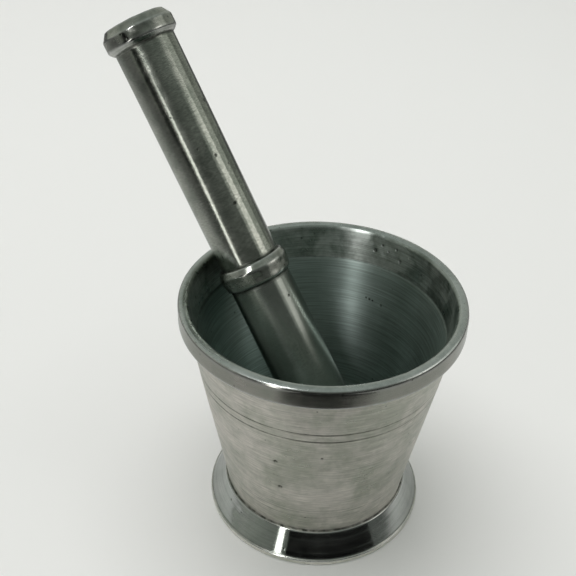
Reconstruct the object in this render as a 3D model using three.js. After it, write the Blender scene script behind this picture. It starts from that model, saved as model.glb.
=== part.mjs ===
// Pharmacy mortar and pestle in cast and turned aluminium, for crushing pills.
// Millimetres, +Z up. The origin is the centre of the mortar's underside, and
// the mortar's turning axis is Z. The pestle leans in the bowl against the rim.
import * as THREE from 'three';

const degrees = Math.PI / 180;

// Mortar, outside: radii are measured from the Z axis, heights from the underside.
const mortarHeight = 92.4;
const rimRadius = 50;
const rimBandHeight = 7.7;
const rimBandStep = 2.5;
const lipInnerRadius = 46.4;
const bodyTopRadius = 47.1;
const bodyFootRadius = 34.2;
const footHeight = 11;
const footRadius = 40.8;
const footEdgeHeight = 2.4;
const footChamfer = 0.6;
const footFlareTopRadius = 34.9;
const coveHeight = 1.4;
const coveDepth = 0.5;

// Two fine grooves turned round the body.
const grooveHeights = [64.8, 68.5];
const grooveWidth = 0.9;
const grooveDepth = 0.35;

// Mortar, inside: the mouth tapers to a step line, then the bowl tapers to a round floor.
const stepRadius = 43.8;
const stepHeight = 79.6;
const stepLedge = 0.4;
const bowlRadius = 32.5;
const bowlRadiusHeight = 30;
const bowlFloorHeight = 13;

// Pestle: stations are measured along its axis from the point level with the rim.
const handleRadius = 10.94;
const collarRadius = 13.1;
const collarTopStation = 0.4;
const collarRidgeStation = -2;
const collarBottomStation = -7.8;
const shankTopRadius = 11.3;
const shankEndRadius = 11.9;
const tipStation = -91.3;
const tipDomeHeight = 9.5;
const headRadius = 12.9;
const headBottomStation = 84.1;
const headUndercut = 0.4;
const headLowerChamfer = 1.2;
const headChamferStation = 89.3;
const headFaceRadius = 10.9;
const headEdgeRound = 0.4;
const headTopStation = 92.4;

// Where the pestle rests: the point of its axis at the height of the rim, how far
// it leans from upright, and the compass direction of the lean from +X.
const restPoint = new THREE.Vector3(-27.1, 19.4, mortarHeight);
const leanAngle = 33.9 * degrees;
const leanDirection = 145.9 * degrees;

const mortarSegments = 72;
const pestleSegments = 36;
const curveDivisions = 6;

const castAluminium = new THREE.MeshStandardMaterial({ color: 0xa6aaa3, roughness: 0.38, metalness: 1 });
const turnedAluminium = new THREE.MeshStandardMaterial({ color: 0x9a9d98, roughness: 0.26, metalness: 1 });

// A solid of revolution about Z from an outline of radius and height.
function turnedSolid(outline, segments) {
  const points = outline.getPoints(curveDivisions);
  for (const point of points) point.x = Math.max(point.x, 0);
  const geometry = new THREE.LatheGeometry(points, segments);
  geometry.rotateX(Math.PI / 2);
  return geometry;
}

function bodyRadiusAt(height) {
  const coneBottom = footHeight + coveHeight;
  const bandBottom = mortarHeight - rimBandHeight;
  const share = (height - coneBottom) / (bandBottom - coneBottom);
  return THREE.MathUtils.lerp(bodyFootRadius, bodyTopRadius, share);
}

// The foot: a flat underside, a short upright edge and a straight flare.
function drawFoot(outline) {
  outline.lineTo(footRadius - footChamfer, 0);
  outline.lineTo(footRadius, footChamfer);
  outline.lineTo(footRadius - footChamfer, footEdgeHeight);
  outline.lineTo(footFlareTopRadius, footHeight);
}

// The cove above the foot and the cone of the body with its grooves.
function drawBody(outline) {
  const coneBottom = footHeight + coveHeight;
  outline.quadraticCurveTo(bodyFootRadius - coveDepth, footHeight, bodyFootRadius, coneBottom);
  for (const height of grooveHeights) {
    const low = height - grooveWidth / 2;
    const high = height + grooveWidth / 2;
    outline.lineTo(bodyRadiusAt(low), low);
    outline.lineTo(bodyRadiusAt(height) - grooveDepth, height);
    outline.lineTo(bodyRadiusAt(high), high);
  }
}

// The raised band round the rim and the rounded lip.
function drawRim(outline) {
  const bandBottom = mortarHeight - rimBandHeight;
  const lipRadius = (rimRadius - lipInnerRadius) / 2;
  outline.lineTo(bodyTopRadius, bandBottom);
  outline.lineTo(bodyTopRadius + rimBandStep, bandBottom);
  outline.lineTo(rimRadius, bandBottom + 0.6);
  outline.lineTo(rimRadius, mortarHeight - lipRadius);
  outline.absellipse(rimRadius - lipRadius, mortarHeight - lipRadius, lipRadius, lipRadius, 0, Math.PI);
}

// The tapered mouth, the step line and the bowl down to its floor.
function drawBowl(outline) {
  const taper = (stepRadius - stepLedge - bowlRadius) / (stepHeight - stepLedge - bowlRadiusHeight);
  const cornerRadius = bowlRadius - taper * (bowlRadiusHeight - bowlFloorHeight);
  outline.lineTo(stepRadius, stepHeight);
  outline.lineTo(stepRadius - stepLedge, stepHeight - stepLedge);
  outline.lineTo(bowlRadius, bowlRadiusHeight);
  outline.quadraticCurveTo(cornerRadius, bowlFloorHeight, 0, bowlFloorHeight);
}

function makeMortar() {
  const outline = new THREE.Path();
  outline.moveTo(0, 0);
  drawFoot(outline);
  drawBody(outline);
  drawRim(outline);
  drawBowl(outline);
  const mortar = new THREE.Mesh(turnedSolid(outline, mortarSegments), castAluminium);
  mortar.name = 'mortar';
  return mortar;
}

// The crushing end: a domed tip and a shank that narrows a little towards the collar.
function drawShank(outline) {
  const domeTop = tipStation + tipDomeHeight;
  outline.absellipse(0, domeTop, shankEndRadius, tipDomeHeight, -Math.PI / 2, 0);
  outline.lineTo(shankTopRadius, collarBottomStation);
}

// The collar: an upright lower side that rounds out to a ridge, then a short top.
function drawCollar(outline) {
  outline.lineTo(collarRadius - 0.7, collarBottomStation + 0.8);
  outline.quadraticCurveTo(collarRadius + 0.1, collarBottomStation + 2.6, collarRadius, collarRidgeStation);
  outline.quadraticCurveTo(collarRadius - 0.4, collarTopStation, handleRadius + 0.3, collarTopStation);
}

// The head: an undercut edge, an upright side and a long chamfer up to the flat end.
function drawHead(outline) {
  outline.lineTo(handleRadius, headBottomStation - headUndercut);
  outline.lineTo(headRadius - headLowerChamfer, headBottomStation);
  outline.lineTo(headRadius, headBottomStation + headLowerChamfer);
  outline.lineTo(headRadius, headChamferStation);
  outline.lineTo(headFaceRadius, headTopStation - headEdgeRound);
  outline.lineTo(headFaceRadius - headEdgeRound, headTopStation);
  outline.lineTo(0, headTopStation);
}

function makePestle() {
  const outline = new THREE.Path();
  drawShank(outline);
  drawCollar(outline);
  drawHead(outline);
  const pestle = new THREE.Mesh(turnedSolid(outline, pestleSegments), turnedAluminium);
  pestle.name = 'pestle';
  pestle.position.copy(restPoint);
  pestle.rotation.order = 'ZYX';
  pestle.rotation.set(0, leanAngle, leanDirection);
  return pestle;
}

const mortarAndPestle = new THREE.Group();
mortarAndPestle.add(makeMortar(), makePestle());

export default mortarAndPestle;
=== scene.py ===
"""A footed aluminium mortar with a loose turned pestle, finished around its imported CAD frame.

Sizes are millimetres in the dataclass fields and become metres when a mesh is made. Both pieces are
turned on a lathe, so each is an outline of radius and height, swept round an axis with the marks,
dents and pits of the real metal worked into its surface.
"""

import logging
import math
from dataclasses import dataclass
from enum import Enum
from typing import Optional

import bpy
import numpy as np
from mathutils import Euler, Matrix, Vector

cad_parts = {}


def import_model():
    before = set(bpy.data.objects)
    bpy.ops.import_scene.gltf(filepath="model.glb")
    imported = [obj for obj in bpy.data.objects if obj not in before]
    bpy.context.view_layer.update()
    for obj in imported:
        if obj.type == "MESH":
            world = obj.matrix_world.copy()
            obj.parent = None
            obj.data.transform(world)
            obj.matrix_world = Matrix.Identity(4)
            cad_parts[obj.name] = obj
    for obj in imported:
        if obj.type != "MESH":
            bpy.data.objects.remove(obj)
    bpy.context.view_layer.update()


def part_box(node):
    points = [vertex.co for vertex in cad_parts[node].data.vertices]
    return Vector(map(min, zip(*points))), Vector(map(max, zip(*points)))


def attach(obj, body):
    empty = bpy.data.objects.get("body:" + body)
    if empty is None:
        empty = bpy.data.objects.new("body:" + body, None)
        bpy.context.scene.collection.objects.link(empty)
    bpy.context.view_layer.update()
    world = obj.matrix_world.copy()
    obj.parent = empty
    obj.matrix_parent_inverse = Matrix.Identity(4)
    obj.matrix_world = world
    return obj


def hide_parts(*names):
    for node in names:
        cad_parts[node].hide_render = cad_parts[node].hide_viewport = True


LOG = logging.getLogger("mortar_and_pestle")
MM = 0.001
NOISE_EDGES = (0.3, 0.7)
Colour = tuple[float, float, float]


class Zone(Enum):
    """A stretch of a turned surface that has a finish of its own."""

    UNDERSIDE = "underside"
    FOOT_EDGE = "foot_edge"
    FLARE = "foot_flare"
    BODY = "body"
    RIM_BAND = "rim_band"
    LIP = "lip"
    MOUTH = "mouth"
    BOWL = "bowl"
    HANDLE = "handle"
    BEAD = "bead"
    SHANK = "shank"


# ---------------------------------------------------------------------------------------------
# Outlines
# ---------------------------------------------------------------------------------------------


@dataclass(frozen=True)
class Corner:
    """A corner of an outline and the straight that leads to it.

    The corner is rounded from `before` millimetres ahead of it to `after` millimetres past it.
    """

    radius: float
    height: float
    zone: Zone
    step: float
    before: float = 0.0
    after: Optional[float] = None


@dataclass(frozen=True)
class Mark:
    """A small hollow in the surface, at a compass angle in degrees and a height on the outline.

    Its depth falls off from its centre, and a larger `sharp` gives it steeper sides.
    """

    angle: float
    height: float
    width: float
    depth: float
    sharp: float = 2.0


class Outline:
    """An outline of radius and height, measured along its run, with a zone for each stretch."""

    ROUND_POINTS = 7
    NOTHING = 1e-6
    CLOSEST_SHARE = 0.25

    def __init__(self, start: tuple[float, float], corners: list[Corner]) -> None:
        """Traces the corners into a fine polyline.

        Args:
            start: radius and height of the first point, on the axis.
            corners: the corners in order, the last one on the axis.
        """
        points = [np.array(start, float)]
        zones: list[Zone] = []
        for index, corner in enumerate(corners):
            here = np.array((corner.radius, corner.height), float)
            self._run_straight(points, zones, here, corner)
            if index + 1 < len(corners) and corner.before > 0:
                after = corners[index + 1]
                self._round_off(points, zones, here, corner, after)
        self.points = np.array(points)
        self.zones = zones
        gaps = np.linalg.norm(np.diff(self.points, axis=0), axis=1)
        self.run = np.concatenate(([0.0], np.cumsum(gaps)))

    @staticmethod
    def _run_straight(points: list, zones: list, here: np.ndarray, corner: Corner) -> None:
        """Steps along the straight that leads to a corner, up to where its rounding starts.

        Args:
            points: the outline's points so far, which the new ones join.
            zones: the zone of each stretch so far.
            here: the corner's place.
            corner: the corner.
        """
        last = points[-1]
        length = float(np.linalg.norm(here - last))
        stop = max(length - corner.before, 0.0)
        if stop < Outline.NOTHING:
            return
        steps = max(int(math.ceil(stop / corner.step)), 1)
        for number in range(1, steps + 1):
            points.append(last + (here - last) * (stop * number / steps / length))
            zones.append(corner.zone)

    def _round_off(self, points: list, zones: list, here: np.ndarray, corner: Corner, after: Corner) -> None:
        """Rounds a corner with a quadratic curve that meets both straights.

        Args:
            points: the outline's points so far, which the new ones join.
            zones: the zone of each stretch so far.
            here: the corner's place.
            corner: the corner.
            after: the corner that comes after it.
        """
        way_on = np.array((after.radius, after.height), float) - here
        far = corner.after if corner.after is not None else corner.before
        end = here + way_on * min(far / float(np.linalg.norm(way_on)), 1.0)
        first = points[-1]
        across = float(np.linalg.norm(end - first))
        count = max(self.ROUND_POINTS, int(across / corner.step))
        for number in range(1, count + 1):
            t = number / count
            points.append(first * (1 - t) ** 2 + here * (2 * t * (1 - t)) + end * t**2)
            zones.append(corner.zone if t <= 0.5 else after.zone)

    def refine(self, runs: list[float], reach: float, step: float) -> None:
        """Adds points round each of the given runs, so that a small mark has a fine mesh.

        Args:
            runs: where along the outline the marks are.
            reach: how far to each side the fine stretch goes.
            step: the distance between its points.
        """
        extra = [run + shift for run in runs for shift in np.arange(-reach, reach + step / 2, step)]
        wanted = np.unique(np.concatenate((self.run, np.clip(extra, 0, self.run[-1]))))
        keep = np.concatenate(([True], np.diff(wanted) > step * self.CLOSEST_SHARE))
        keep[-1] = True
        wanted = wanted[keep]
        middles = (wanted[:-1] + wanted[1:]) / 2
        cells = np.clip(np.searchsorted(self.run, middles) - 1, 0, len(self.zones) - 1)
        self.zones = [self.zones[cell] for cell in cells]
        radius = np.interp(wanted, self.run, self.points[:, 0])
        height = np.interp(wanted, self.run, self.points[:, 1])
        self.points = np.stack((radius, height), axis=1)
        self.run = wanted

    def run_at(self, zone: Zone, height: float) -> float:
        """The run where the outline passes a height within a zone.

        Args:
            zone: the zone.
            height: the height.

        Returns:
            The run there.
        """
        inside = [index for index, name in enumerate(self.zones) if name is zone]
        middle = (self.points[:-1, 1] + self.points[1:, 1]) / 2
        best = min(inside, key=lambda index: abs(middle[index] - height))
        return float((self.run[best] + self.run[best + 1]) / 2)

    def normals(self) -> np.ndarray:
        """Works out which way the surface faces along the outline.

        Returns:
            The outward normal at each point, as radius and height parts.
        """
        slope = np.gradient(self.points, self.run, axis=0)
        normal = np.stack((slope[:, 1], -slope[:, 0]), axis=1)
        return normal / np.maximum(np.linalg.norm(normal, axis=1), 1e-9)[:, None]

    def bends(self, blur: float) -> tuple[np.ndarray, np.ndarray]:
        """How much the outline bends out and in near each point, each from 0 to 1.

        Args:
            blur: the distance along the run over which a bend is felt.

        Returns:
            The outward bends and the inward bends.
        """
        step = np.diff(self.points, axis=0)
        heading = np.unwrap(np.arctan2(step[:, 1], step[:, 0]))
        turn = np.concatenate(([0.0], np.diff(heading), [0.0]))
        weight = np.exp(-(((self.run[:, None] - self.run[None, :]) / blur) ** 2))
        outward = np.clip(weight @ np.clip(turn, 0, None), 0, 1)
        inward = np.clip(weight @ np.clip(-turn, 0, None), 0, 1)
        return outward, inward


class TurnedSolid:
    """A closed mesh swept from an outline round Z, with a relief pressed into its surface."""

    WEAR_BLUR = 0.45
    MARK_REACH = 0.96
    MARK_STEP = 0.2
    PIT_WIDTH = 1.4
    HOLLOW_DARK_GAIN = 2.5
    CLOSEST_TURN = 5e-4
    WAVES_ROUND = (2, 3, 5, 8, 13)
    MAP = "turning"

    def __init__(self, name: str, outline: Outline, spokes: int, marks: dict[Zone, list[Mark]]) -> None:
        """Lays out the grid of rings and spokes.

        Args:
            name: the object's name.
            outline: the outline to sweep.
            spokes: how many even spokes go round.
            marks: the small hollows of each zone.
        """
        self.name = name
        self.outline = outline
        self.marks = [(zone, mark) for zone, group in marks.items() for mark in group]
        small = [(zone, mark) for zone, mark in self.marks if mark.width < self.PIT_WIDTH]
        if small:
            runs = [outline.run_at(zone, mark.height) for zone, mark in small]
            outline.refine(runs, self.MARK_REACH, self.MARK_STEP)
        self.angle = self._angles(spokes, small)
        self.relief = np.zeros((len(outline.run), len(self.angle)))
        # Mask of darkened hollows: grime with painted shade.
        self.hollow_shade_and_grime = np.zeros_like(self.relief)
        for zone, mark in self.marks:
            self._press(zone, mark)

    def _angles(self, spokes: int, small: list[tuple[Zone, Mark]]) -> np.ndarray:
        """Even spokes, with finer ones beside each small mark.

        Args:
            spokes: how many even spokes go round.
            small: the small marks, each with its zone.

        Returns:
            The spokes' angles in radians, in order.
        """
        even = np.arange(spokes) * (2 * math.pi / spokes)
        extra: list[float] = []
        for zone, mark in small:
            radius = self._radius_at(zone, mark)
            reach = np.arange(-mark.width, mark.width + Outline.NOTHING, self.MARK_STEP)
            extra.extend((math.radians(mark.angle) + reach / radius) % (2 * math.pi))
        angles = np.unique(np.concatenate((even, extra)))
        keep = np.concatenate(([True], np.diff(angles) > self.CLOSEST_TURN))
        return angles[keep]

    def _radius_at(self, zone: Zone, mark: Mark) -> float:
        """The outline's radius where a mark sits."""
        run = self.outline.run_at(zone, mark.height)
        return max(float(np.interp(run, self.outline.run, self.outline.points[:, 0])), 1.0)

    def _press(self, zone: Zone, mark: Mark) -> None:
        """Presses one hollow into the relief and darkens the floor of a small one: grime with painted shade.

        Args:
            zone: the zone that the hollow lies in.
            mark: the hollow.
        """
        run = self.outline.run_at(zone, mark.height)
        radius = self._radius_at(zone, mark)
        turn = (self.angle - math.radians(mark.angle) + math.pi) % (2 * math.pi) - math.pi
        far = np.hypot((self.outline.run - run)[:, None], (turn * radius)[None, :])
        shape = np.exp(-((far / (mark.width / 2)) ** mark.sharp))
        self.relief -= mark.depth * shape
        # A small hollow's floor is darkened: grime with painted shade in the pit.
        if mark.width < self.PIT_WIDTH:
            self.hollow_shade_and_grime = np.maximum(self.hollow_shade_and_grime, np.clip(shape * self.HOLLOW_DARK_GAIN, 0, 1))

    def in_zone(self, *zones: Zone) -> np.ndarray:
        """Tells which rings lie inside the given zones.

        Returns:
            One for each ring inside them and zero elsewhere, as a column.
        """
        inside = np.array([zone in zones for zone in self.outline.zones], float)
        ring = np.minimum(np.append(inside, inside[-1]), np.insert(inside, 0, inside[0]))
        return ring[:, None]

    def groove(self, zone: Zone, height: float, width: float, depth: float, worn: np.ndarray) -> None:
        """Cuts a fine groove all round, less deep where the surface is worn.

        Args:
            zone: the zone that the groove lies in.
            height: its height on the outline.
            width: its width.
            depth: its depth where it isn't worn.
            worn: for each spoke, the share of the depth that is left.
        """
        run = self.outline.run_at(zone, height)
        shape = np.exp(-(((self.outline.run - run) / (width / 2)) ** 2))
        cut = shape[:, None] * worn[None, :]
        self.relief -= depth * cut
        # The groove is darkened along its cut: grime with painted shade.
        self.hollow_shade_and_grime = np.maximum(self.hollow_shade_and_grime, cut)

    def ridges(self, zones: tuple[Zone, ...], pitch: float, depth: float, seed: int) -> None:
        """Adds the uneven ridges that the turning tool leaves.

        Args:
            zones: where they run.
            pitch: the distance between two ridges.
            depth: half the height of a ridge.
            seed: the seed of their unevenness.
        """
        rng = np.random.default_rng(seed)
        drift = self._slow_random(rng, 40, -1.5, 1.5)
        swell = self._slow_random(rng, 60, 0.25, 1.0)
        wave = (np.sin(2 * math.pi * self.outline.run / pitch + drift) - 1) * swell
        around = 1 + 0.35 * np.sin(self.angle * 2 + 0.8) + 0.2 * np.sin(self.angle * 5)
        self.relief += depth * wave[:, None] * around[None, :] * self.in_zone(*zones)

    def _slow_random(self, rng: np.random.Generator, knots: int, low: float, high: float) -> np.ndarray:
        """Random values at even knots along the run, joined by straight lines.

        Args:
            rng: where the values come from.
            knots: how many knots there are.
            low: the lowest value.
            high: the highest value.

        Returns:
            A value for each point of the outline.
        """
        run = self.outline.run
        return np.interp(run, np.linspace(0, run[-1], knots), rng.uniform(low, high, knots))

    def unevenness(self, zones: tuple[Zone, ...], depth: float, length: float, seed: int) -> None:
        """Adds a slow wave over the surface, as hand polishing leaves.

        Args:
            zones: where it runs.
            depth: its depth.
            length: the length of a wave along the outline.
            seed: the seed of its shape.
        """
        rng = np.random.default_rng(seed)
        total = np.zeros_like(self.relief)
        for waves in self.WAVES_ROUND:
            turns = waves * self.angle + rng.uniform(0, 2 * math.pi)
            slide = self.outline.run / length * rng.uniform(0.6, 1.6) + rng.uniform(0, 6)
            total += np.cos(turns)[None, :] * np.sin(slide)[:, None] / math.sqrt(waves)
        self.relief += depth * total * self.in_zone(*zones)

    def make(self, materials: dict[Zone, bpy.types.Material], place: Matrix) -> bpy.types.Object:
        """Builds the mesh with its materials and the values that they read.

        Args:
            materials: the material of each zone.
            place: where the turning axis stands in the frame, in metres.

        Returns:
            The new object, linked to the scene, with its place in its mesh.
        """
        places, faces = self._grid()
        mesh = bpy.data.meshes.new(self.name)
        mesh.from_pydata(places.tolist(), [], faces)
        self._dress(mesh, materials)
        self._write_values(mesh)
        self._wrap(mesh)
        mesh.transform(place)
        mesh.update()
        piece = bpy.data.objects.new(self.name, mesh)
        bpy.context.scene.collection.objects.link(piece)
        return piece

    def _grid(self) -> tuple[np.ndarray, list]:
        """Lays the rings and spokes out with their relief.

        Returns:
            The vertices in metres, with the two axis points last, and the faces.
        """
        inner = slice(1, len(self.outline.run) - 1)
        normal = self.outline.normals()[inner]
        point = self.outline.points[inner]
        push = self.relief[inner]
        radius = point[:, :1] + normal[:, :1] * push
        height = point[:, 1:] + normal[:, 1:] * push
        grid = np.stack((radius * np.cos(self.angle), radius * np.sin(self.angle), height), axis=2)
        ends = [(0.0, 0.0, self.outline.points[0, 1]), (0.0, 0.0, self.outline.points[-1, 1])]
        places = np.concatenate((grid.reshape(-1, 3), np.array(ends))) * MM
        rings, spokes = grid.shape[:2]
        first, last = rings * spokes, rings * spokes + 1
        around = [(spoke, (spoke + 1) % spokes) for spoke in range(spokes)]
        faces: list = [(first, b, a) for a, b in around]
        for ring in range(rings - 1):
            low, high = ring * spokes, (ring + 1) * spokes
            faces.extend((low + a, low + b, high + b, high + a) for a, b in around)
        top = (rings - 1) * spokes
        faces.extend((top + a, top + b, last) for a, b in around)
        return places, faces

    def _dress(self, mesh: bpy.types.Mesh, materials: dict[Zone, bpy.types.Material]) -> None:
        """Gives each ring of faces the material of its zone and shades them smoothly.

        Args:
            mesh: the mesh.
            materials: the material of each zone.
        """
        used = list(dict.fromkeys(self.outline.zones))
        for zone in used:
            mesh.materials.append(materials[zone])
        spokes = len(self.angle)
        index = np.repeat([used.index(zone) for zone in self.outline.zones], spokes)
        mesh.polygons.foreach_set("material_index", index.astype(np.int32))
        mesh.polygons.foreach_set("use_smooth", np.ones(len(index), bool))

    def _write_values(self, mesh: bpy.types.Mesh) -> None:
        """Stores the ring coordinates, wear, and the darkening of inward bends and hollows (grime with
        painted shade) that the materials read.

        Args:
            mesh: the mesh.
        """
        outward, inward = self.outline.bends(self.WEAR_BLUR)
        spokes = len(self.angle)
        run = np.repeat(self.outline.run[1:-1], spokes)
        turn = np.tile(self.angle, len(self.outline.run) - 2)
        ring = np.stack((np.cos(turn), np.sin(turn), run), axis=1)
        ends = np.array([(0, 0, self.outline.run[0]), (0, 0, self.outline.run[-1])])
        self._store_vector(mesh, "ring", np.concatenate((ring, ends)))
        self._store_value(mesh, "wear", np.repeat(outward[1:-1], spokes))
        # Inward bends and hollows are darkened: grime with painted shade.
        shade_and_grime = np.maximum(np.repeat(inward[1:-1], spokes), self.hollow_shade_and_grime[1:-1].ravel())
        self._store_value(mesh, "shade_and_grime", shade_and_grime)

    def _wrap(self, mesh: bpy.types.Mesh) -> None:
        """Lays a map over the mesh with the turn across and the run up, so that gloss can follow the turn.

        Args:
            mesh: the mesh.
        """
        rings, spokes = len(self.outline.run) - 2, len(self.angle)
        turn = np.append(self.angle, 2 * math.pi) / (2 * math.pi)
        run = self.outline.run / self.outline.run[-1]
        left, right = turn[:-1], turn[1:]
        middle = (left + right) / 2
        parts = [self._corners((middle, run[0]), (right, run[1]), (left, run[1]))]
        for ring in range(1, rings):
            low, high = run[ring], run[ring + 1]
            parts.append(self._corners((left, low), (right, low), (right, high), (left, high)))
        parts.append(self._corners((left, run[rings]), (right, run[rings]), (middle, run[-1])))
        layer = mesh.uv_layers.new(name=self.MAP)
        layer.data.foreach_set("uv", np.concatenate(parts).astype(np.float32))

    @staticmethod
    def _corners(*corners: tuple[np.ndarray, float]) -> np.ndarray:
        """The map places of one ring of faces, corner by corner, in a flat list."""
        pairs = [np.stack((turn, np.full(len(turn), run)), axis=1) for turn, run in corners]
        return np.stack(pairs, axis=1).ravel()

    @staticmethod
    def _store_vector(mesh: bpy.types.Mesh, name: str, values: np.ndarray) -> None:
        """Stores a vector for each vertex."""
        layer = mesh.attributes.new(name, "FLOAT_VECTOR", "POINT")
        layer.data.foreach_set("vector", values.astype(np.float32).ravel())

    @staticmethod
    def _store_value(mesh: bpy.types.Mesh, name: str, values: np.ndarray) -> None:
        """Stores a value for each vertex, with none at the two axis points."""
        layer = mesh.attributes.new(name, "FLOAT", "POINT")
        layer.data.foreach_set("value", np.append(values, (0.0, 0.0)).astype(np.float32))


# ---------------------------------------------------------------------------------------------
# Node groups shared by the metals
# ---------------------------------------------------------------------------------------------


class Graph:
    """A thin helper that adds and links nodes in one tree."""

    MIX_FIRST = 6
    MIX_SECOND = 7
    MIX_RESULT = 2

    def __init__(self, tree: bpy.types.NodeTree) -> None:
        """Keeps the tree."""
        self.tree = tree

    def add(self, kind: str, **settings: object) -> bpy.types.Node:
        """Adds a node and sets its properties.

        Args:
            kind: the node's type name.
            settings: its properties.

        Returns:
            The node.
        """
        node = self.tree.nodes.new(kind)
        for key, value in settings.items():
            setattr(node, key, value)
        return node

    def link(self, source: bpy.types.NodeSocket, target: bpy.types.NodeSocket) -> None:
        """Links an output to an input."""
        self.tree.links.new(source, target)

    def feed(self, value: object, target: bpy.types.NodeSocket) -> None:
        """Feeds an input from a socket, a plain number or a plain colour.

        Args:
            value: the socket, number or colour.
            target: the input.
        """
        if isinstance(value, bpy.types.NodeSocket):
            self.link(value, target)
        elif isinstance(value, tuple):
            target.default_value = (*value, 1.0)
        else:
            target.default_value = value

    def noise(self, place: object, scale: object, detail: float) -> bpy.types.Node:
        """Adds a Noise Texture node.

        Args:
            place: the socket of the places that it reads.
            scale: its scale, a socket or a number.
            detail: its detail.

        Returns:
            The node.
        """
        node = self.add("ShaderNodeTexNoise")
        node.inputs["Detail"].default_value = detail
        self.link(place, node.inputs["Vector"])
        self.feed(scale, node.inputs["Scale"])
        return node

    def math(self, operation: str, first: object, second: object, clamp: bool = False) -> object:
        """Adds a Math node fed by sockets or numbers.

        Args:
            operation: what it works out.
            first: its first value.
            second: its second value.
            clamp: whether the result stays between 0 and 1.

        Returns:
            The node's output socket.
        """
        node = self.add("ShaderNodeMath", operation=operation, use_clamp=clamp)
        self.feed(first, node.inputs[0])
        self.feed(second, node.inputs[1])
        return node.outputs[0]

    def spread(self, value: object, low: float, high: float, to_low: float, to_high: float) -> object:
        """Maps a value from one range to another, clamped.

        Args:
            value: the socket of the value.
            low: where its range starts.
            high: where its range ends.
            to_low: the result at the start.
            to_high: the result at the end.

        Returns:
            The mapped value's socket.
        """
        node = self.add("ShaderNodeMapRange", clamp=True)
        self.link(value, node.inputs["Value"])
        for key, number in (("From Min", low), ("From Max", high), ("To Min", to_low), ("To Max", to_high)):
            node.inputs[key].default_value = number
        return node.outputs["Result"]

    def blend(self, factor: object, first: object, second: object) -> object:
        """Mixes two colours, each a socket or a plain colour.

        Args:
            factor: the socket of the second colour's share.
            first: the first colour.
            second: the second colour.

        Returns:
            The mixed colour's socket.
        """
        node = self.add("ShaderNodeMix", data_type="RGBA")
        self.link(factor, node.inputs[0])
        self.feed(first, node.inputs[self.MIX_FIRST])
        self.feed(second, node.inputs[self.MIX_SECOND])
        return node.outputs[self.MIX_RESULT]


def new_group(name: str, inputs: dict[str, float], outputs: tuple[str, ...]) -> tuple[Graph, object, object]:
    """Starts a shader node group with value sockets.

    Args:
        name: the group's name.
        inputs: its inputs and their defaults.
        outputs: its outputs.

    Returns:
        The graph, the inputs' node and the outputs' node.
    """
    tree = bpy.data.node_groups.new(name, "ShaderNodeTree")
    for key, value in inputs.items():
        socket = tree.interface.new_socket(key, in_out="INPUT", socket_type="NodeSocketFloat")
        socket.default_value = value
    for key in outputs:
        tree.interface.new_socket(key, in_out="OUTPUT", socket_type="NodeSocketFloat")
    graph = Graph(tree)
    return graph, graph.add("NodeGroupInput"), graph.add("NodeGroupOutput")


def make_lathe_marks() -> bpy.types.NodeTree:
    """Makes the group of fine and coarse marks that run round a turned surface.

    Returns:
        The group.
    """
    graph, given, out = new_group("lathe_marks", {"Per mm": 3.0, "Breakup": 3.0}, ("Fine", "Coarse"))
    ring = graph.add("ShaderNodeAttribute", attribute_name="ring")
    coarse_share = 0.22
    for key, share in (("Fine", 1.0), ("Coarse", coarse_share)):
        scale = graph.add("ShaderNodeCombineXYZ")
        across = graph.math("MULTIPLY", given.outputs["Per mm"], share)
        graph.link(given.outputs["Breakup"], scale.inputs["X"])
        graph.link(given.outputs["Breakup"], scale.inputs["Y"])
        graph.link(across, scale.inputs["Z"])
        stretched = graph.add("ShaderNodeVectorMath", operation="MULTIPLY")
        graph.link(ring.outputs["Vector"], stretched.inputs[0])
        graph.link(scale.outputs[0], stretched.inputs[1])
        noise = graph.noise(stretched.outputs[0], 1.0, 2.0)
        graph.link(noise.outputs["Fac"], out.inputs[key])
    return graph.tree


def make_cast_blotch() -> bpy.types.NodeTree:
    """Makes the group of broad and small patches of tone over a cast surface.

    Returns:
        The group.
    """
    scales = {"Broad scale": 55.0, "Small scale": 320.0}
    graph, given, out = new_group("cast_blotch", scales, ("Broad", "Small"))
    place = graph.add("ShaderNodeTexCoord")
    for key, source, detail in (("Broad", "Broad scale", 4.0), ("Small", "Small scale", 5.0)):
        noise = graph.noise(place.outputs["Object"], given.outputs[source], detail)
        noise.inputs["Roughness"].default_value = 0.62
        noise.inputs["Distortion"].default_value = 0.4
        graph.link(noise.outputs["Fac"], out.inputs[key])
    return graph.tree


def make_fine_pits() -> bpy.types.NodeTree:
    """Makes the group of scattered pinholes, one where a cell's own chance allows it.

    Returns:
        The group.
    """
    graph, given, out = new_group("fine_pits", {"Scale": 450.0, "Share": 0.1, "Size": 0.2}, ("Mask",))
    place = graph.add("ShaderNodeTexCoord")
    cells = graph.add("ShaderNodeTexVoronoi")
    graph.link(place.outputs["Object"], cells.inputs["Vector"])
    graph.link(given.outputs["Scale"], cells.inputs["Scale"])
    chance = graph.add("ShaderNodeSeparateColor")
    graph.link(cells.outputs["Color"], chance.inputs["Color"])
    chosen = graph.math("LESS_THAN", chance.outputs[0], given.outputs["Share"])
    near = graph.math("DIVIDE", cells.outputs["Distance"], given.outputs["Size"])
    hollow = graph.math("SUBTRACT", 1.0, near, clamp=True)
    graph.link(graph.math("MULTIPLY", hollow, chosen), out.inputs["Mask"])
    return graph.tree


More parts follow.
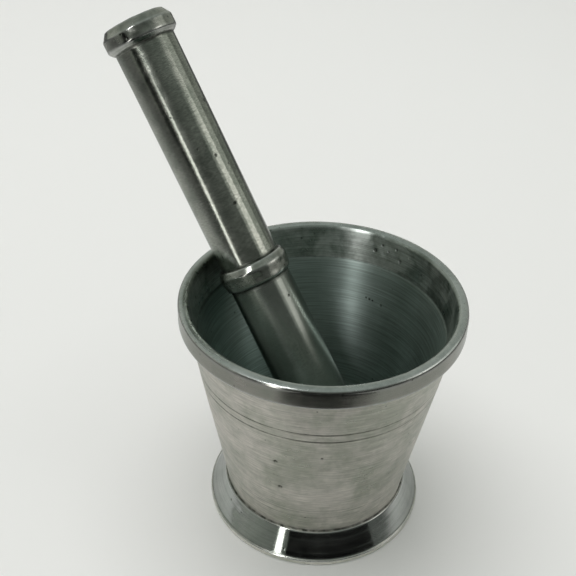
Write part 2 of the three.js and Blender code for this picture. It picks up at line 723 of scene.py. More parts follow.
def make_edge_care() -> bpy.types.NodeTree:
    """Makes the group of rubbed corners and darkened hollows (grime with painted shade), broken up so that
    neither is even.

    Returns:
        The group.
    """
    graph, given, out = new_group("edge_care", {"Breakup scale": 500.0}, ("Wear", "Shade and grime"))
    place = graph.add("ShaderNodeTexCoord")
    noise = graph.noise(place.outputs["Object"], given.outputs["Breakup scale"], 3.0)
    least = 0.45
    uneven = graph.spread(noise.outputs["Fac"], *NOISE_EDGES, least, 1.0)
    for key, name in (("Wear", "wear"), ("Shade and grime", "shade_and_grime")):
        stored = graph.add("ShaderNodeAttribute", attribute_name=name)
        graph.link(graph.math("MULTIPLY", stored.outputs["Fac"], uneven, clamp=True), out.inputs[key])
    return graph.tree


# ---------------------------------------------------------------------------------------------
# Finishes
# ---------------------------------------------------------------------------------------------


@dataclass(frozen=True)
class MetalFinish:
    """How one stretch of the turned aluminium looks.

    `light` and `dark` are the two tones of its patches, `per_mm` and `ring_depth` set the lathe
    marks and `stretch` how far they draw a highlight out across themselves.
    """

    name: str
    light: Colour
    dark: Colour
    roughness: float
    swing: float = 0.08
    stretch: float = 0.5
    per_mm: float = 3.0
    breakup: float = 3.0
    ring_depth: float = 0.008
    ring_tone: float = 0.12
    broad_scale: float = 55.0
    small_scale: float = 320.0
    pit_scale: float = 420.0
    pit_share: float = 0.06
    pit_size: float = 0.22
    # Near-black colour of the darkened hollows and pinholes: grime with painted shade. The lathe lines
    # darken towards it too.
    shade_and_grime: Colour = (0.05, 0.055, 0.045)
    wear: Colour = (0.80, 0.81, 0.80)


@dataclass(frozen=True)
class Bench:
    """A material under way: its graph, its shader and the shared effects placed in it."""

    graph: Graph
    shader: bpy.types.Node
    marks: bpy.types.Node
    blotch: bpy.types.Node
    pits: bpy.types.Node
    care: bpy.types.Node


class FinishShop:
    """Builds the shared node groups once and makes a material from each finish."""

    PATCH_EDGES = (0.36, 0.64)
    SWING_EDGES = (0.35, 0.65)
    SPECKLE = 0.25
    COARSE_SWING = 0.5
    RUBBED_GLOSS = 0.35
    GRIME_ROUGHNESS = 0.35
    SMOOTHEST = 0.04
    COARSE_DEPTH = 2
    PIT_DEPTH = 0.06
    ALONG_TURN = 0.25

    def __init__(self) -> None:
        """Makes the node groups."""
        self.marks = make_lathe_marks()
        self.blotch = make_cast_blotch()
        self.pits = make_fine_pits()
        self.care = make_edge_care()

    @staticmethod
    def _place(graph: Graph, group: bpy.types.NodeTree, **values: float) -> bpy.types.Node:
        """Places a group in a material with its own values.

        Args:
            graph: the material's graph.
            group: the shared group.
            values: its inputs, with an underscore for each space in a name.

        Returns:
            The group's node.
        """
        node = graph.add("ShaderNodeGroup", node_tree=group)
        for key, value in values.items():
            node.inputs[key.replace("_", " ")].default_value = value
        return node

    def make(self, finish: MetalFinish) -> bpy.types.Material:
        """Makes the material of a finish.

        Args:
            finish: the finish.

        Returns:
            The material.
        """
        material = bpy.data.materials.new(finish.name)
        material.use_nodes = True
        material.node_tree.nodes.clear()
        graph = Graph(material.node_tree)
        shader = graph.add("ShaderNodeBsdfPrincipled")
        output = graph.add("ShaderNodeOutputMaterial")
        graph.link(shader.outputs[0], output.inputs["Surface"])
        broad, small = finish.broad_scale, finish.small_scale
        scale, share, size = finish.pit_scale, finish.pit_share, finish.pit_size
        bench = Bench(
            graph,
            shader,
            marks=self._place(graph, self.marks, Per_mm=finish.per_mm, Breakup=finish.breakup),
            blotch=self._place(graph, self.blotch, Broad_scale=broad, Small_scale=small),
            pits=self._place(graph, self.pits, Scale=scale, Share=share, Size=size),
            care=self._place(graph, self.care),
        )
        self._colour(bench, finish)
        self._gloss(bench, finish)
        self._relief(bench, finish)
        shader.inputs["Metallic"].default_value = 1.0
        shader.inputs["Anisotropic"].default_value = finish.stretch
        shader.inputs["Anisotropic Rotation"].default_value = self.ALONG_TURN
        tangent = graph.add("ShaderNodeTangent", direction_type="UV_MAP", uv_map=TurnedSolid.MAP)
        graph.link(tangent.outputs[0], shader.inputs["Tangent"])
        return material

    def _colour(self, bench: Bench, finish: MetalFinish) -> None:
        """Feeds the base colour: patches, lathe tone, rubbed corners, and hollows and pinholes darkened with
        grime and painted shade.

        Args:
            bench: the material under way.
            finish: its finish.
        """
        graph = bench.graph
        patch = graph.spread(bench.blotch.outputs["Broad"], *self.PATCH_EDGES, 0.0, 1.0)
        speckle = graph.spread(bench.blotch.outputs["Small"], *NOISE_EDGES, -self.SPECKLE, self.SPECKLE)
        share = graph.math("ADD", patch, speckle, clamp=True)
        tone = graph.blend(share, finish.dark, finish.light)
        line = graph.spread(bench.marks.outputs["Fine"], *NOISE_EDGES, finish.ring_tone, 0.0)
        lined = graph.blend(line, tone, finish.shade_and_grime)
        rubbed = graph.blend(bench.care.outputs["Wear"], lined, finish.wear)
        # Hollows darkened: grime with painted shade.
        with_recesses = graph.blend(bench.care.outputs["Shade and grime"], rubbed, finish.shade_and_grime)
        # Pinholes painted nearly black: painted shade in the holes, with grime.
        pitted = graph.blend(bench.pits.outputs["Mask"], with_recesses, finish.shade_and_grime)
        graph.link(pitted, bench.shader.inputs["Base Color"])

    def _gloss(self, bench: Bench, finish: MetalFinish) -> None:
        """Feeds the roughness: smoother where rubbed, rougher in patches, lines and grime.

        Args:
            bench: the material under way.
            finish: its finish.
        """
        graph = bench.graph
        swing = finish.swing
        lesser = swing * self.COARSE_SWING
        broad = graph.spread(bench.blotch.outputs["Broad"], *self.SWING_EDGES, -swing, swing)
        coarse = graph.spread(bench.marks.outputs["Coarse"], *self.SWING_EDGES, -lesser, lesser)
        rough = graph.math("ADD", graph.math("ADD", broad, coarse), finish.roughness)
        polish = graph.math("MULTIPLY", bench.care.outputs["Wear"], finish.roughness * self.RUBBED_GLOSS)
        dirt = graph.math("MULTIPLY", bench.care.outputs["Shade and grime"], self.GRIME_ROUGHNESS)
        rubbed = graph.math("SUBTRACT", rough, polish)
        with_recesses = graph.math("ADD", rubbed, dirt, clamp=True)
        graph.link(graph.math("MAXIMUM", with_recesses, self.SMOOTHEST), bench.shader.inputs["Roughness"])

    def _relief(self, bench: Bench, finish: MetalFinish) -> None:
        """Feeds the normal: fine and coarse lathe marks and pinholes, with depths in millimetres.

        Args:
            bench: the material under way.
            finish: its finish.
        """
        graph = bench.graph
        fine = graph.math("MULTIPLY", bench.marks.outputs["Fine"], finish.ring_depth)
        coarse = graph.math("MULTIPLY", bench.marks.outputs["Coarse"], finish.ring_depth * self.COARSE_DEPTH)
        hollow = graph.math("MULTIPLY", bench.pits.outputs["Mask"], -self.PIT_DEPTH)
        height = graph.math("ADD", graph.math("ADD", fine, coarse), hollow)
        bump = graph.add("ShaderNodeBump")
        bump.inputs["Strength"].default_value = 1.0
        bump.inputs["Distance"].default_value = MM
        graph.link(height, bump.inputs["Height"])
        graph.link(bump.outputs[0], bench.shader.inputs["Normal"])


SATIN_LIGHT: Colour = (0.89, 0.855, 0.785)
SATIN_DARK: Colour = (0.56, 0.575, 0.49)
GREEN_LIGHT: Colour = (0.56, 0.66, 0.625)
GREEN_DARK: Colour = (0.50, 0.595, 0.56)

FINISHES: dict[Zone, MetalFinish] = {
    Zone.UNDERSIDE: MetalFinish(
        "underside_turned", SATIN_LIGHT, SATIN_DARK, roughness=0.42, per_mm=1.6, ring_depth=0.02
    ),
    Zone.FOOT_EDGE: MetalFinish(
        "foot_edge_satin", SATIN_LIGHT, SATIN_DARK, roughness=0.3, per_mm=2.5, ring_depth=0.006
    ),
    Zone.FLARE: MetalFinish(
        "foot_flare_polish", (0.60, 0.62, 0.595), (0.48, 0.52, 0.48), roughness=0.1, swing=0.035,
        stretch=0.35, per_mm=1.7, breakup=1.2, ring_depth=0.004, ring_tone=0.16, pit_share=0.03,
    ),
    Zone.BODY: MetalFinish(
        "body_satin", SATIN_LIGHT, SATIN_DARK, roughness=0.36, swing=0.07, stretch=0.55, per_mm=2.2,
        breakup=5.0, ring_depth=0.009, ring_tone=0.3, broad_scale=48.0, pit_share=0.03, pit_size=0.17,
    ),
    Zone.RIM_BAND: MetalFinish(
        "rim_band_turned", (0.42, 0.41, 0.37), (0.33, 0.345, 0.30), roughness=0.22, swing=0.05,
        stretch=0.45, per_mm=2.6, ring_depth=0.004, ring_tone=0.08,
    ),
    Zone.LIP: MetalFinish(
        "lip_polish", (0.74, 0.79, 0.77), (0.44, 0.49, 0.465), roughness=0.33, swing=0.1, stretch=0.3,
        small_scale=700.0, ring_depth=0.003, pit_share=0.12, pit_scale=600.0,
    ),
    Zone.MOUTH: MetalFinish(
        "mouth_turned", (0.78, 0.83, 0.79), (0.42, 0.47, 0.43), roughness=0.33, swing=0.05, stretch=0.82,
        per_mm=2.4, breakup=2.0, ring_depth=0.012, ring_tone=0.4, broad_scale=120.0, small_scale=520.0,
        pit_share=0.09, pit_size=0.26, wear=(0.50, 0.55, 0.52),
    ),
    Zone.BOWL: MetalFinish(
        "bowl_turned", GREEN_LIGHT, GREEN_DARK, roughness=0.45, swing=0.015, stretch=0.92, per_mm=2.0,
        breakup=2.0, ring_depth=0.012, ring_tone=0.4, broad_scale=70.0, pit_share=0.015,
        wear=(0.42, 0.47, 0.44),
    ),
    Zone.HANDLE: MetalFinish(
        "handle_polish", (0.55, 0.57, 0.51), (0.38, 0.41, 0.36), roughness=0.165, swing=0.03, stretch=0.86,
        per_mm=3.6, breakup=7.0, ring_depth=0.010, ring_tone=0.42, broad_scale=110.0, pit_scale=420.0,
        pit_share=0.12, pit_size=0.18,
    ),
    Zone.BEAD: MetalFinish(
        "bead_polish", (0.55, 0.555, 0.51), (0.33, 0.35, 0.31), roughness=0.23, swing=0.07, stretch=0.3,
        per_mm=2.4, ring_depth=0.004, broad_scale=160.0, small_scale=600.0, pit_share=0.1,
    ),
    Zone.SHANK: MetalFinish(
        "shank_worn", (0.42, 0.445, 0.41), (0.355, 0.38, 0.345), roughness=0.22, swing=0.015, stretch=0.85,
        per_mm=3.0, breakup=9.0, ring_depth=0.003, ring_tone=0.22, broad_scale=60.0, pit_share=0.01,
    ),
}


# ---------------------------------------------------------------------------------------------
# The two pieces
# ---------------------------------------------------------------------------------------------


@dataclass
class Mortar:
    """The footed mortar: one casting, turned inside and out. Its rim and height come from the frame."""

    band_height: float = 7.7
    band_step: float = 2.5
    lip_width: float = 3.6
    body_top_radius: float = 47.1
    body_foot_radius: float = 34.2
    foot_height: float = 11.0
    foot_radius: float = 40.8
    foot_edge_height: float = 2.4
    flare_top_radius: float = 34.9
    cove_height: float = 1.4
    step_radius: float = 43.8
    step_height: float = 79.6
    step_ledge: float = 0.4
    bowl_radius: float = 32.5
    bowl_radius_height: float = 30.0
    floor_height: float = 13.0
    groove_heights: tuple[float, ...] = (64.8, 68.5)
    faint_lines: tuple[float, ...] = (19.6, 22.4, 23.8)
    flare_lines: tuple[float, ...] = (8.6, 4.4)
    spokes: int = 240
    line_reach: float = 0.6
    line_step: float = 0.15

    def outline(self, rim_radius: float, height: float) -> Outline:
        """The outline from the centre of the underside round to the bowl's floor.

        Args:
            rim_radius: the rim's outer radius.
            height: the whole height.

        Returns:
            The outline.
        """
        band_low = height - self.band_height
        lip = self.lip_width / 2
        cone_low = self.foot_height + self.cove_height
        ledge_radius = self.step_radius - self.step_ledge
        ledge_height = self.step_height - self.step_ledge
        taper = (ledge_radius - self.bowl_radius) / (ledge_height - self.bowl_radius_height)
        drop = self.bowl_radius_height - self.floor_height
        knee = self.bowl_radius - taper * drop
        return Outline(
            (0.0, 0.0),
            [
                Corner(self.foot_radius, 0.0, Zone.UNDERSIDE, 2.5, 0.6),
                Corner(self.foot_radius, self.foot_edge_height - 0.3, Zone.FOOT_EDGE, 0.5, 0.35),
                Corner(self.foot_radius - 0.6, self.foot_edge_height, Zone.FOOT_EDGE, 0.3, 0.25),
                Corner(self.flare_top_radius, self.foot_height, Zone.FLARE, 0.4, 0.35),
                Corner(self.body_foot_radius - 0.1, self.foot_height + 0.1, Zone.BODY, 0.3, 0.5, 1.0),
                Corner(self.body_foot_radius, cone_low, Zone.BODY, 0.4, 0.2),
                Corner(self.body_top_radius, band_low, Zone.BODY, 0.8, 0.25),
                Corner(self.body_top_radius + self.band_step, band_low, Zone.RIM_BAND, 0.6, 0.25),
                Corner(rim_radius, band_low + 0.6, Zone.RIM_BAND, 0.4, 0.25),
                Corner(rim_radius, height, Zone.RIM_BAND, 0.6, lip),
                Corner(rim_radius - self.lip_width, height, Zone.LIP, 0.4, lip),
                Corner(self.step_radius, self.step_height, Zone.MOUTH, 0.45, 0.15),
                Corner(ledge_radius, ledge_height, Zone.BOWL, 0.2, 0.12),
                Corner(self.bowl_radius, self.bowl_radius_height, Zone.BOWL, 0.34),
                Corner(knee, self.floor_height, Zone.BOWL, 0.45, math.hypot(drop, taper * drop), knee),
                Corner(0.0, self.floor_height, Zone.BOWL, 0.6),
            ],
        )

    def marks(self) -> dict[Zone, list[Mark]]:
        """The casting pits in the body and mouth, the knocks in the foot and lip, and the bowl's nicks."""
        return {
            Zone.BODY: [
                Mark(251.3, 50.3, 1.2, 0.8, 3.0),
                Mark(252.5, 35.7, 1.35, 0.9, 3.0),
                Mark(273.3, 55.9, 0.7, 0.3, 3.0),
                Mark(318.0, 33.0, 9.0, 0.12),
                Mark(232.0, 50.0, 14.0, 0.14),
                Mark(286.0, 52.0, 18.0, 0.10),
            ],
            Zone.FLARE: [
                Mark(231.0, 6.0, 7.5, 0.16),
                Mark(236.0, 9.0, 5.0, 0.12),
                Mark(221.0, 7.6, 3.5, 0.10),
                Mark(226.0, 4.4, 3.2, 0.08),
            ],
            Zone.LIP: [
                Mark(292.0, 92.3, 1.6, 0.12),
                Mark(305.0, 92.2, 2.2, 0.16),
                Mark(256.0, 92.3, 1.4, 0.10),
                Mark(61.0, 92.2, 2.4, 0.14),
                Mark(84.0, 92.2, 1.8, 0.12),
            ],
            Zone.MOUTH: [
                Mark(65.0, 85.6, 1.3, 0.2, 3.0),
                Mark(61.5, 88.4, 0.8, 0.2, 3.0),
                Mark(58.0, 86.6, 0.7, 0.15, 3.0),
                Mark(54.0, 88.6, 0.9, 0.2, 3.0),
                Mark(50.9, 84.7, 1.2, 0.2, 3.0),
                Mark(68.0, 90.0, 3.2, 0.12),
                Mark(59.0, 85.0, 3.0, 0.14),
                Mark(44.0, 88.0, 2.8, 0.12),
            ],
            Zone.BOWL: [
                Mark(65.5, 66.0, 0.7, 0.12, 3.0),
                Mark(63.5, 65.8, 0.9, 0.14, 3.0),
                Mark(61.5, 65.6, 0.7, 0.12, 3.0),
                Mark(56.0, 65.0, 0.9, 0.14, 3.0),
            ],
        }

    def build(self, shop: FinishShop) -> bpy.types.Object:
        """Builds the mortar and puts it in place of its CAD node.

        Args:
            shop: makes the finishes.

        Returns:
            The finished object.
        """
        low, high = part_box("mortar")
        rim_radius = (high.x - low.x) / 2 / MM
        height = high.z / MM
        outline = self.outline(rim_radius, height)
        lines = [outline.run_at(Zone.BODY, level) for level in self.groove_heights + self.faint_lines]
        outline.refine(lines, self.line_reach, self.line_step)
        solid = TurnedSolid("mortar_casting", outline, self.spokes, self.marks())
        self._work_surface(solid)
        zones = dict.fromkeys(outline.zones)
        piece = solid.make({zone: shop.make(FINISHES[zone]) for zone in zones}, Matrix.Identity(4))
        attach(piece, "mortar")
        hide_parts("mortar")
        return piece

    def _work_surface(self, solid: TurnedSolid) -> None:
        """Cuts the grooves and adds the tool's ridges and the polisher's unevenness.

        The grooves are deepest at the front left and worn away at the back right.

        Args:
            solid: the mortar's solid.
        """
        kept = np.clip(0.55 + 0.45 * np.sin(solid.angle + 0.9 + math.pi), 0.12, 1.0)
        for level in self.groove_heights:
            solid.groove(Zone.BODY, level, width=0.42, depth=0.2, worn=0.35 + 0.65 * kept)
        for level in self.faint_lines:
            solid.groove(Zone.BODY, level, width=0.3, depth=0.06, worn=0.5 * kept)
        for level in self.flare_lines:
            solid.groove(Zone.FLARE, level, width=0.3, depth=0.03, worn=np.full_like(kept, 0.6))
        solid.ridges((Zone.BOWL,), pitch=1.2, depth=0.02, seed=11)
        solid.ridges((Zone.MOUTH,), pitch=1.9, depth=0.008, seed=12)
        solid.ridges((Zone.UNDERSIDE,), pitch=5.5, depth=0.02, seed=13)
        solid.unevenness((Zone.BODY,), depth=0.035, length=9.0, seed=14)
        solid.unevenness((Zone.MOUTH, Zone.BOWL), depth=0.03, length=12.0, seed=15)


@dataclass
class Pestle:
    """The loose pestle: one turned bar with a collar and a beaded head.

    Heights are stations along its axis from the point level with the mortar's rim.
    """

    handle_radius: float = 10.94
    collar_radius: float = 13.1
    collar_top: float = 0.4
    collar_ridge: float = -2.0
    collar_bottom: float = -7.8
    shank_top_radius: float = 11.3
    shank_end_radius: float = 11.9
    tip: float = -91.3
    tip_dome: float = 9.5
    tip_roundness: float = 0.96
    head_radius: float = 12.9
    head_bottom: float = 84.1
    head_undercut: float = 0.4
    head_lower_chamfer: float = 1.2
    head_chamfer: float = 89.3
    head_face_radius: float = 10.8
    head_top: float = 92.4
    rest_x: float = -27.1
    rest_y: float = 19.4
    lean: float = 33.9
    lean_direction: float = 145.9
    spokes: int = 176

    def outline(self) -> Outline:
        """The outline from the tip up to the middle of the head's face.

        Returns:
            The outline.
        """
        dome = self.tip + self.tip_dome
        tip_reach = self.shank_end_radius * self.tip_roundness
        neck = self.head_bottom - self.head_undercut
        low_edge = self.head_bottom + self.head_lower_chamfer
        return Outline(
            (0.0, self.tip),
            [
                Corner(self.shank_end_radius, self.tip, Zone.SHANK, 0.8, tip_reach, self.tip_dome),
                Corner(self.shank_end_radius, dome, Zone.SHANK, 0.8),
                Corner(self.shank_top_radius, self.collar_bottom, Zone.SHANK, 1.1, 0.3),
                Corner(self.collar_radius - 0.7, self.collar_bottom + 0.5, Zone.BEAD, 0.3, 0.6, 1.2),
                Corner(self.collar_radius, self.collar_ridge, Zone.BEAD, 0.35, 0.8, 0.5),
                Corner(self.collar_radius - 1.0, self.collar_top, Zone.BEAD, 0.25, 0.5),
                Corner(self.handle_radius, self.collar_top, Zone.BEAD, 0.25, 0.35),
                Corner(self.handle_radius, neck, Zone.HANDLE, 0.9, 0.12),
                Corner(self.head_radius - self.head_lower_chamfer, self.head_bottom, Zone.BEAD, 0.25, 0.2),
                Corner(self.head_radius, low_edge, Zone.BEAD, 0.3, 0.5, 0.7),
                Corner(self.head_radius, self.head_chamfer, Zone.BEAD, 0.35, 0.4),
                Corner(self.head_face_radius, self.head_top - 0.2, Zone.BEAD, 0.3, 0.25, 0.4),
                Corner(0.0, self.head_top, Zone.BEAD, 1.2),
            ],
        )

    def marks(self) -> dict[Zone, list[Mark]]:
        """Pits along the handle and shank and knocks round the head and collar."""
        return {
            Zone.HANDLE: [
                Mark(187.8, 35.0, 0.6, 0.16, 3.0),
                Mark(167.4, 39.6, 0.9, 0.1),
                Mark(141.9, 43.8, 0.6, 0.1),
                Mark(160.0, 22.0, 1.1, 0.05),
                Mark(205.0, 58.0, 1.2, 0.06),
            ],
            Zone.SHANK: [Mark(177.2, -16.0, 0.7, 0.16, 3.0)],
            Zone.BEAD: [
                Mark(120.0, 90.6, 2.6, 0.2),
                Mark(150.0, 87.4, 3.0, 0.16),
                Mark(178.0, 91.0, 2.2, 0.2),
                Mark(200.0, 87.0, 3.4, 0.12),
                Mark(95.0, 91.2, 1.6, 0.25),
                Mark(140.0, -4.6, 2.4, 0.16),
                Mark(170.0, -5.4, 3.0, 0.14),
                Mark(192.0, -3.6, 2.2, 0.16),
                Mark(212.0, -5.0, 2.6, 0.1),
            ],
        }

    def placement(self, rim_height: float) -> Matrix:
        """Where the pestle rests: its axis leans from upright towards its compass direction.

        Args:
            rim_height: the height of the mortar's rim, in metres.

        Returns:
            The pestle's place and lean.
        """
        turn = Euler((0.0, math.radians(self.lean), math.radians(self.lean_direction)), "XYZ")
        place = Vector((self.rest_x * MM, self.rest_y * MM, rim_height))
        return Matrix.Translation(place) @ turn.to_matrix().to_4x4()

    def build(self, shop: FinishShop) -> bpy.types.Object:
        """Builds the pestle and puts it in place of its CAD node.

        Args:
            shop: makes the finishes.

        Returns:
            The finished object.
        """
        solid = TurnedSolid("pestle_bar", self.outline(), self.spokes, self.marks())
        solid.ridges((Zone.HANDLE, Zone.SHANK), pitch=2.3, depth=0.004, seed=21)
        solid.unevenness((Zone.HANDLE,), depth=0.02, length=16.0, seed=22)
        solid.unevenness((Zone.BEAD,), depth=0.05, length=3.0, seed=23)
        solid.unevenness((Zone.SHANK,), depth=0.03, length=10.0, seed=24)
        place = self.placement(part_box("mortar")[1].z)
        zones = dict.fromkeys(solid.outline.zones)
        piece = solid.make({zone: shop.make(FINISHES[zone]) for zone in zones}, place)
        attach(piece, "pestle")
        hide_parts("pestle")
        return piece


# ---------------------------------------------------------------------------------------------
# The studio
# ---------------------------------------------------------------------------------------------


def matte(name: str, colour: Colour, roughness: float = 1.0, specular: float = 0.0) -> bpy.types.Material:
    """Makes a plain dull material for the stage.

    Args:
        name: its name.
        colour: its colour.
        roughness: its roughness.
        specular: its specular level.

    Returns:
        The material.
    """
    material = bpy.data.materials.new(name)
    material.use_nodes = True
    shader = material.node_tree.nodes["Principled BSDF"]
    shader.inputs["Base Color"].default_value = (*colour, 1.0)
    shader.inputs["Roughness"].default_value = roughness
    shader.inputs["Specular IOR Level"].default_value = specular
    return material


def only_mirrored(surface: bpy.types.Object) -> None:
    """Leaves a stage piece visible in gloss only, without a shadow.

    Args:
        surface: the stage piece.
    """
    surface.visible_camera = False
    surface.visible_diffuse = False
    surface.visible_shadow = False
    surface.visible_transmission = False


@dataclass(frozen=True)
class Lamp:
    """A soft rectangular lamp, aimed at a point. Places and sizes are metres."""

    name: str
    place: tuple[float, float, float]
    aim: tuple[float, float, float]
    width: float
    height: float
    watts: float
    colour: Colour = (1.0, 1.0, 1.0)
    mirrored: bool = True

    def build(self) -> None:
        """Makes the lamp, unseen by the camera. The metal mirrors it or the floor is lit by it, not both."""
        light = bpy.data.lights.new(self.name, "AREA")
        light.shape = "RECTANGLE"
        light.size = self.width
        light.size_y = self.height
        light.energy = self.watts
        light.color = self.colour
        lamp = bpy.data.objects.new(self.name, light)
        lamp.location = self.place
        way = Vector(self.aim) - Vector(self.place)
        lamp.rotation_euler = way.to_track_quat("-Z", "Y").to_euler()
        lamp.visible_camera = False
        lamp.visible_glossy = self.mirrored
        lamp.visible_diffuse = not self.mirrored
        bpy.context.scene.collection.objects.link(lamp)


@dataclass(frozen=True)
class Card:
    """A dull card that only the metal mirrors, as a studio flag is. Sizes are metres."""

    name: str
    place: tuple[float, float, float]
    aim: tuple[float, float, float]
    width: float
    height: float
    tone: float

    def build(self) -> None:
        """Makes the card, which casts no shadow and isn't seen directly."""
        wide, tall = self.width / 2, self.height / 2
        corners = [(-wide, -tall, 0.0), (wide, -tall, 0.0), (wide, tall, 0.0), (-wide, tall, 0.0)]
        mesh = bpy.data.meshes.new(self.name)
        mesh.from_pydata(corners, [], [(0, 1, 2, 3)])
        mesh.materials.append(matte(self.name, (self.tone, self.tone, self.tone)))
        card = bpy.data.objects.new(self.name, mesh)
        card.location = self.place
        way = Vector(self.aim) - Vector(self.place)
        card.rotation_euler = way.to_track_quat("Z", "Y").to_euler()
        bpy.context.scene.collection.objects.link(card)
        only_mirrored(card)


@dataclass
class Studio:
    """A pale floor, soft lamps, a dim room and the camera. Places and sizes are metres."""

    SPOKES = 96
    SENSOR_WIDTH = 36.0

    floor_size: float = 5.0
    wall_sweep: float = 0.9
    wall_height: float = 3.0
    floor_colour: Colour = (0.86, 0.86, 0.85)
    pool_centre: tuple[float, float] = (0.0, 0.08)
    pool_radii: tuple[float, float] = (0.12, 0.50)
    pool_hole: float = 0.043
    pool_height: float = 0.0003
    pool_tones: tuple[float, float] = (0.64, 0.16)
    room_dim: Colour = (0.10, 0.108, 0.10)
    room_lit: Colour = (0.38, 0.40, 0.36)
    room_high: Colour = (0.30, 0.33, 0.305)
    lit_side: tuple[float, float, float] = (-0.6, 0.8, 0.0)
    side_reach: float = 0.75
    overhead: tuple[float, float] = (0.42, 0.9)
    camera_place: tuple[float, float, float] = (0.0, -0.2594, 0.2771)
    camera_yaw: float = -2.69
    camera_pitch: float = 35.11
    camera_roll: float = 1.42
    lens: float = 57.8
    lamps: tuple[Lamp, ...] = (
        Lamp(
            "strip_front_left", place=(-0.150, -0.275, 0.125), aim=(0.0, 0.0, 0.125),
            width=0.033, height=0.20, watts=0.06, colour=(1.0, 0.98, 0.96),
        ),
        Lamp(
            "window_right", place=(0.96, -0.12, 0.56), aim=(0.0, 0.0, 0.08),
            width=0.40, height=0.36, watts=0.40, colour=(1.0, 0.95, 0.93),
        ),
        Lamp(
            "window_glow", place=(1.00, 0.02, 0.56), aim=(0.0, 0.0, 0.08),
            width=1.15, height=0.62, watts=0.80, colour=(0.98, 1.0, 0.93),
        ),
        Lamp(
            "spot_front_left", place=(-0.25, -0.40, 0.50), aim=(0.0, 0.02, 0.07),
            width=0.07, height=0.25, watts=0.6,
        ),
        Lamp(
            "ceiling", place=(-0.25, 0.25, 1.8), aim=(0.0, 0.0, 0.0),
            width=1.9, height=1.9, watts=29.0, colour=(1.0, 0.985, 0.98), mirrored=False,
        ),
    )
    cards: tuple[Card, ...] = (
        Card(
            "dark_front_right", place=(0.31, -0.45, 0.062), aim=(0.31, 0.0, 0.062),
            width=0.98, height=0.124, tone=0.01,
        ),
        Card(
            "dark_left", place=(-0.265, -0.262, 0.175), aim=(-0.08, 0.05, 0.15),
            width=0.12, height=0.13, tone=0.01,
        ),
        # A dark sheet on the floor in front that only the metal mirrors: a painted shadow in the floor's
        # reflection.
        Card(
            "dark_front_floor", place=(0.02, -0.25, 0.0006), aim=(0.02, -0.25, 1.0),
            width=0.17, height=0.25, tone=0.02,
        ),
    )

    def build(self) -> None:
        """Builds the floor, lamps, cards, room and camera."""
        self._floor()
        self._pool()
        for lamp in self.lamps:
            lamp.build()
        for card in self.cards:
            card.build()
        self._room()
        self._camera()
        bpy.context.scene.view_settings.view_transform = "Standard"

    def _floor(self) -> None:
        """A plain pale round floor and the wall that it curves up into, which the metal doesn't mirror."""
        flat, sweep = self.floor_size / 2, self.wall_sweep
        bends = [math.radians(degrees) for degrees in range(0, 91, 10)]
        rise = [(flat + sweep * math.sin(bend), sweep * (1 - math.cos(bend))) for bend in bends]
        paper = matte("floor_paper", self.floor_colour, roughness=0.9, specular=0.1)
        self._swept("studio_floor", [(0.0, 0.0), (flat, 0.0)], paper)
        wall = self._swept("studio_wall", [*rise, (flat + sweep, self.wall_height)], paper)
        wall.visible_glossy = False

    def _swept(
        self, name: str, outline: list[tuple[float, float]], material: bpy.types.Material
    ) -> bpy.types.Object:
        """Sweeps a stage surface round Z from places of radius and height.

        Args:
            name: the object's name.
            outline: the radii and heights, which may start at the centre.
            material: its material.

        Returns:
            The new stage object.
        """
        spokes = self.SPOKES
        turns = [2 * math.pi * number / spokes for number in range(spokes)]
        around = [(math.cos(turn), math.sin(turn)) for turn in turns]
        places = [(size * x, size * y, level) for size, level in outline for x, y in around]
        faces = []
        for ring in range(len(outline) - 1):
            for here in range(spokes):
                after = (here + 1) % spokes
                low, high = ring * spokes, (ring + 1) * spokes
                faces.append((low + here, high + here, high + after, low + after))
        mesh = bpy.data.meshes.new(name)
        mesh.from_pydata(places, [], faces)
        mesh.polygons.foreach_set("use_smooth", np.ones(len(faces), bool))
        mesh.materials.append(material)
        surface = bpy.data.objects.new(name, mesh)
        bpy.context.scene.collection.objects.link(surface)
        return surface

    def _pool(self) -> None:
        """A ring over the floor that the metal mirrors, with a painted pool of light: lighter near the
        mortar, darker away from it, like a lit table.
        """
        near_tone, far_tone = self.pool_tones
        material = matte("painted_light_pool", (near_tone, near_tone, near_tone))
        graph = Graph(material.node_tree)
        place = graph.add("ShaderNodeTexCoord")
        far = graph.add("ShaderNodeVectorMath", operation="DISTANCE")
        far.inputs[1].default_value = (*self.pool_centre, 0.0)
        graph.link(place.outputs["Object"], far.inputs[0])
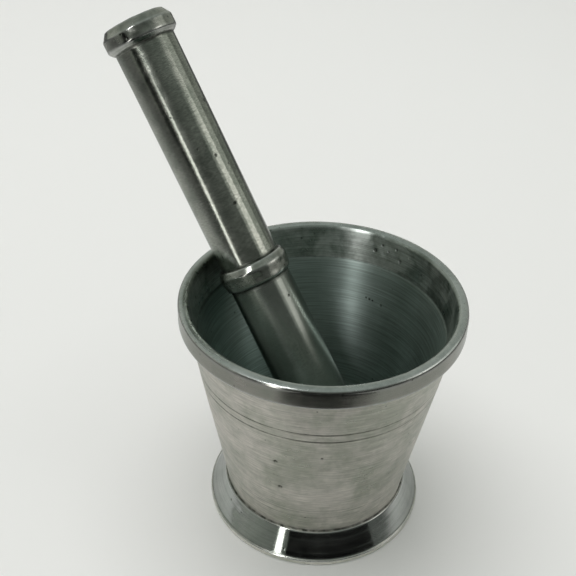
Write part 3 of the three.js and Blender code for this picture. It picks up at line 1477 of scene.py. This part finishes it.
        # Painted pool of light: the tone falls from near to far with distance from the centre.
        tone = graph.spread(far.outputs["Value"], *self.pool_radii, near_tone, far_tone)
        graph.link(tone, material.node_tree.nodes["Principled BSDF"].inputs["Base Color"])
        ring = self._swept("painted_light_pool", [(self.pool_hole, 0.0), (self.floor_size / 2, 0.0)], material)
        ring.location = (0.0, 0.0, self.pool_height)
        only_mirrored(ring)

    def _room(self) -> None:
        """A dim room, lighter on one side than on the other and even overhead."""
        world = bpy.data.worlds.new("room")
        bpy.context.scene.world = world
        world.use_nodes = True
        graph = Graph(world.node_tree)
        world.node_tree.nodes.clear()
        way = graph.add("ShaderNodeTexCoord")
        parts = graph.add("ShaderNodeSeparateXYZ")
        graph.link(way.outputs["Generated"], parts.inputs[0])
        side = graph.add("ShaderNodeVectorMath", operation="DOT_PRODUCT")
        side.inputs[1].default_value = self.lit_side
        graph.link(way.outputs["Generated"], side.inputs[0])
        lit = graph.spread(side.outputs["Value"], -self.side_reach, self.side_reach, 0.0, 1.0)
        around = graph.blend(lit, self.room_dim, self.room_lit)
        rise = graph.spread(parts.outputs["Z"], *self.overhead, 0.0, 1.0)
        colour = graph.blend(rise, around, self.room_high)
        back = graph.add("ShaderNodeBackground")
        graph.link(colour, back.inputs["Color"])
        output = graph.add("ShaderNodeOutputWorld")
        graph.link(back.outputs[0], output.inputs["Surface"])

    def _camera(self) -> None:
        """The camera, looking down at the mortar from the front."""
        data = bpy.data.cameras.new("camera")
        data.lens = self.lens
        data.sensor_width = self.SENSOR_WIDTH
        camera = bpy.data.objects.new("camera", data)
        tilt = Matrix.Rotation(math.radians(90.0 - self.camera_pitch), 4, "X")
        swing = Matrix.Rotation(math.radians(-self.camera_yaw), 4, "Z")
        roll = Matrix.Rotation(math.radians(self.camera_roll), 4, "Z")
        camera.matrix_world = Matrix.Translation(Vector(self.camera_place)) @ swing @ tilt @ roll
        bpy.context.scene.collection.objects.link(camera)
        bpy.context.scene.camera = camera


def main() -> None:
    """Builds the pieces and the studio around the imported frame."""
    logging.basicConfig(level=logging.INFO, format="%(name)s: %(message)s")
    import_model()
    shop = FinishShop()
    Mortar().build(shop)
    Pestle().build(shop)
    Studio().build()


if __name__ == "__main__":
    main()
